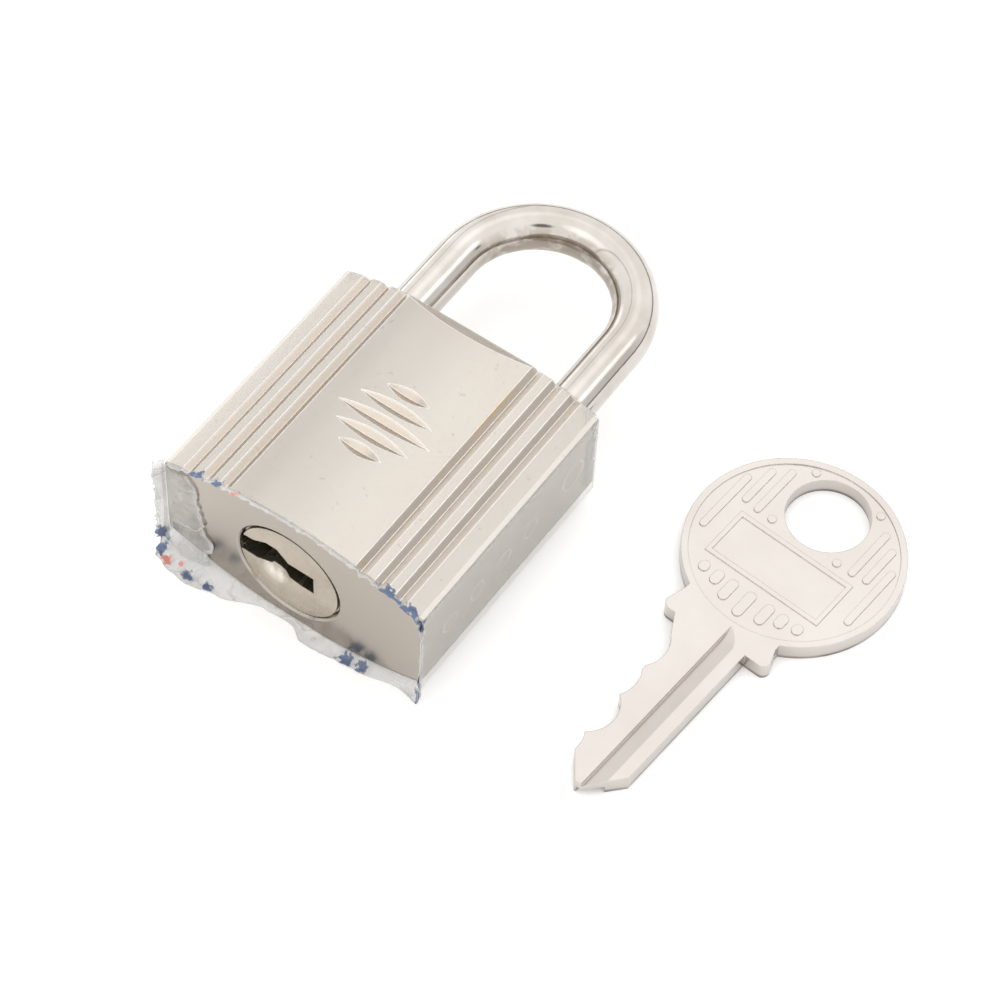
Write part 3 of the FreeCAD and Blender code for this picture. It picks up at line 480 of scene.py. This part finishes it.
def wrap(u, v):
    """The close-fitting sheet from its torn end past the keyway to its fold over the shackle end."""
    x, z = wrap_section(u)
    side = math.copysign(1.0, x)
    on_side = abs(x) > HALF_WIDTH
    torn = 0.35 + 0.30 * ruffle(x * 3, z * 3, 1.7, 3.0) + 0.18 * ruffle(x * 3, z * 3, 0.6, 7.0)
    if on_side:
        torn += 0.75
    start = -max(0.05, torn)
    cornered = min(1.0, max(0.0, (abs(x) - 9.0) / 5.0))
    lap = -0.15 + 1.9 * cornered + 0.35 * cornered * ruffle(x, z, 2.0, 9.0)
    path = start + v * (END + lap - start)
    fold = path - END - GAP
    past = max(0.0, -path)
    crinkle = 0.10 * ruffle(x + z, path, 1.1, 4.0) * min(1.0, 0.15 + past)
    if on_side:
        return x + side * (0.55 * past ** 1.4 + abs(crinkle)), min(path, END + GAP), z
    if fold > 0.0:
        return x, END + GAP + 0.04 * abs(ruffle(x, z, 1.0, 5.0)), front_height(x, END) + GAP - fold
    lift = 0.22 * past + abs(crinkle)
    return x, path, min(front_height(x, path) + GAP + lift, FILM_TOP)


def torn_share(at, u, v):
    """How crumpled the wrap is: fully at its torn end, a little at its folded end and corners."""
    x, y, z = at
    end = max(0.0, 1.0 - max(0.0, y + 0.1) / 0.5)
    fold = max(0.0, 1.0 - abs(END - y) / 0.35) * 0.25
    corner = max(0.0, 1.0 - math.hypot(abs(x) - HALF_WIDTH, y - END) / 2.0) * 0.8
    edge = max(0.0, 1.0 - abs(abs(x) - HALF_WIDTH) / 0.25 - max(0.0, FRONT_EDGE - 0.8 - z)) * 0.35
    return min(1.0, max(end, fold, corner, edge))


FLAP_EDGE = [(-15.6, -1.6), (-15.2, -2.2), (-13.0, -2.9), (-11.0, -3.15), (-7.6, -2.5), (-2.9, -0.9),
             (0.2, -0.8), (2.3, -1.9), (8.0, -1.4), (12.7, -0.5), (15.0, -0.9)]
FLAP_START = -15.7
FLAP_LENGTH = 30.9


def flap_reach(x):
    """How far the flap on the floor runs out at a place across it, along a smooth torn line."""
    for (left, near), (right, far) in zip(FLAP_EDGE, FLAP_EDGE[1:]):
        if x <= right or right == FLAP_EDGE[-1][0]:
            share = min(1.0, max(0.0, (x - left) / (right - left)))
            share = share * share * (3 - 2 * share)
            return near + (far - near) * share


def flap(u, v):
    """The torn flap from the case's back edge down to the floor and out over it."""
    x = FLAP_START + FLAP_LENGTH * u
    reach = flap_reach(x) + 0.10 * ruffle(x, 0.0, 0.7, 2.0)
    top = back_height(x) + 0.05
    down = max(0.0, 1.0 - v * 1.6)
    y = -0.06 + (reach + 0.06) * v
    rise = 0.35 * abs(ruffle(x, y, 2.3, 1.0)) * math.sin(math.pi * min(1.0, v * 1.1))
    curl = 0.35 * max(0.0, ruffle(x, 0.0, 3.1, 6.0)) * v ** 4
    return x, y, 0.06 + (top - 0.06) * down ** 1.6 + rise + curl


def full_share(at, u, v):
    """How crumpled the flap and the cheeks are."""
    return 0.55 + 0.45 * v


def cheek(side, tip, foot):
    """A torn side piece that stands past the keyway end, curls out and reaches the floor."""
    def place(u, v):
        top = FRONT_EDGE + 0.55 + 0.5 * ruffle(u * 2, 0.0, 0.9, side)
        z = 0.1 + (top - 0.1) * v
        out = foot + (tip - foot) * v + 0.25 * ruffle(z, 0.0, 2.4, side)
        reach = 0.9 + 0.35 * ruffle(z, 0.0, 1.9, 5.0 + side)
        y = -0.02 - reach * u
        x = side * (HALF_WIDTH + 0.10 + out * u ** 1.3 + 0.10 * abs(ruffle(z, u * 2, 0.9, 8.0)))
        return x, y, z - 0.25 * u * v
    return place


def tongue(u, v):
    """A torn piece that hangs before the left of the keyway end."""
    z = 0.4 + (FRONT_EDGE - 0.2) * v
    width = 5.2 + 0.9 * ruffle(z, 0.0, 2.6, 4.0) + 0.4 * ruffle(z, 0.0, 0.8, 2.0) - 2.2 * v * v
    x = -HALF_WIDTH - 0.1 + width * u
    y = -0.15 - 0.75 * math.sin(math.pi * min(1.0, 0.15 + 0.85 * u)) ** 0.7 * (1.0 - 0.6 * v)
    return x, y - 0.12 * abs(ruffle(x, z, 1.6, 7.0)), z


def hazy_share(at, u, v):
    """How crumpled the tongue is."""
    return 0.45 + 0.25 * u


def wrap_rim(at, u, v):
    """The torn end's thin white edge."""
    return max(0.0, 1.0 - v * 120)


def outer_rim(at, u, v):
    """The flap's outer edge."""
    return max(0.0, 1.0 - (1.0 - v) * 14)


def cheek_rim(at, u, v):
    """The outer edge of a cheek or the tongue."""
    return max(0.0, 1.0 - (1.0 - u) * 9)


INK = {"blue_ink": blots(BLUE_SPOTS), "red_ink": blots(RED_SPOTS)}
film = film_piece("film_wrap", 220, 120, wrap, {"torn": torn_share, "edge": wrap_rim, **INK})
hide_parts("protective_film")
film_piece("film_flap", 150, 16, flap, {"torn": full_share, "edge": outer_rim, **INK})
film_piece("film_tongue", 40, 60, tongue, {"torn": hazy_share, "edge": cheek_rim, **INK})
film_piece("film_cheek_left", 10, 50, cheek(-1, 0.75, 0.5), {"torn": full_share, "edge": cheek_rim, **INK})
film_piece("film_cheek_right", 10, 50, cheek(1, 0.7, 0.1), {"torn": full_share, "edge": cheek_rim, **INK})


# ---------------------------------------------------------------- studio

def studio_floor():
    """A plain white floor, a hair below the resting flat."""
    bpy.ops.object.select_all(action="DESELECT")
    bpy.ops.mesh.primitive_plane_add(size=6.0, location=(0.0, 0.0, -0.02 * MM))
    floor = bpy.context.object
    floor.name = "floor"
    f = Finish("pale_floor")
    speck = f.grain((90.0, 90.0, 90.0), 2.0)
    colour = f.mixed(speck, (0.96, 0.96, 0.96, 1.0), (0.945, 0.945, 0.945, 1.0))
    shader = f.add("ShaderNodeBsdfPrincipled", None,
                   {"Base Color": colour, "Roughness": 0.7, "Specular IOR Level": 0.2,
                    "Emission Color": (1.0, 1.0, 1.0, 1.0), "Emission Strength": 0.10})
    f.tree.links.new(shader.outputs[0], f.output.inputs[0])
    floor.data.materials.append(f.material)


SKY_LEVELS = [(0.0, 0.30), (0.075, 0.36), (0.13, 1.30), (0.30, 1.41), (0.60, 1.38), (1.0, 1.46)]


def studio_sky(camera_side):
    """A white tent with a dark skirt, soft lamps, a grey side, a seam, a flag and the camera's hole."""
    world = bpy.data.worlds.new("white_tent")
    bpy.context.scene.world = world
    world.use_nodes = True
    sky = Nodes(world.node_tree)
    towards = sky.add("ShaderNodeTexCoord").outputs["Generated"]
    parts = sky.add("ShaderNodeSeparateXYZ", None, {0: towards})
    stops = [(at, (level, level, level, 1.0)) for at, level in SKY_LEVELS]
    gradient = Value(sky, sky.add("ShaderNodeValToRGB", {"stops": stops}, {0: parts.outputs["Z"]}).outputs[0])

    def patch(side, near, far):
        """1 within one angle of a direction, fading to 0 at another."""
        facing = Value(sky, sky.add("ShaderNodeVectorMath", {"operation": "DOT_PRODUCT"},
                                    {0: towards, 1: Vector(side).normalized()}).outputs["Value"])
        inner = math.cos(math.radians(near))
        outer = math.cos(math.radians(far))
        return facing.over((inner + outer) / 2, inner - outer)

    roof = patch((-0.10, 0.48, 0.87), 3, 17)
    right_lamp = patch((0.58, 0.48, 0.66), 3, 11)
    near_lamp = patch((-0.30, -0.45, 0.83), 6, 20)
    left_lamp = patch((-0.90, 0.42, 0.20), 4, 12)
    grey_side = patch((0.80, 0.48, 0.32), 8, 20)
    flag = patch((0.80, 0.38, 0.47), 2, 5)
    hole = patch(camera_side, 5, 11)
    across = Value(sky, parts.outputs["X"])
    seam = (1.0 - abs(across + 0.58).over(0.022, 0.014)) * Value(sky, parts.outputs["Z"]).over(0.15, 0.1)
    lamps = 0.26 * roof + 0.8 * right_lamp + 0.5 * near_lamp + 0.6 * left_lamp
    level = (gradient + lamps) * (1.0 - 0.30 * grey_side) * (1.0 - 0.8 * hole)
    level = level * (1.0 - 0.85 * flag) * (1.0 - 0.35 * seam)
    light = sky.add("ShaderNodeBackground", None, {"Color": (1.0, 0.995, 0.985, 1.0), "Strength": level})
    output = sky.add("ShaderNodeOutputWorld")
    sky.tree.links.new(light.outputs[0], output.inputs[0])


def camera():
    """The camera looks down at the front from the keyway end, a little to the right."""
    around = math.radians(32.63)
    above = math.radians(55.47)
    roll = math.radians(3.21)
    target = Vector((8.01, 23.07, 0.0)) * MM
    distance = 346.07 * MM
    back = Vector((math.sin(around) * math.cos(above), -math.cos(around) * math.cos(above), math.sin(above)))
    level = Vector((math.cos(around), math.sin(around), 0.0))
    upright = back.cross(level)
    right = level * math.cos(roll) + upright * math.sin(roll)
    up = upright * math.cos(roll) - level * math.sin(roll)
    data = bpy.data.cameras.new("camera")
    data.sensor_width = 36.0
    data.lens = 126.14
    data.clip_start = 0.01
    data.clip_end = 50.0
    item = bpy.data.objects.new("camera", data)
    bpy.context.scene.collection.objects.link(item)
    turn = Matrix((right, up, back)).transposed().to_4x4()
    item.matrix_world = Matrix.Translation(target + back * distance) @ turn
    bpy.context.scene.camera = item
    return back


camera_side = camera()
studio_floor()
studio_sky(camera_side)
bpy.context.scene.view_settings.view_transform = "Standard"
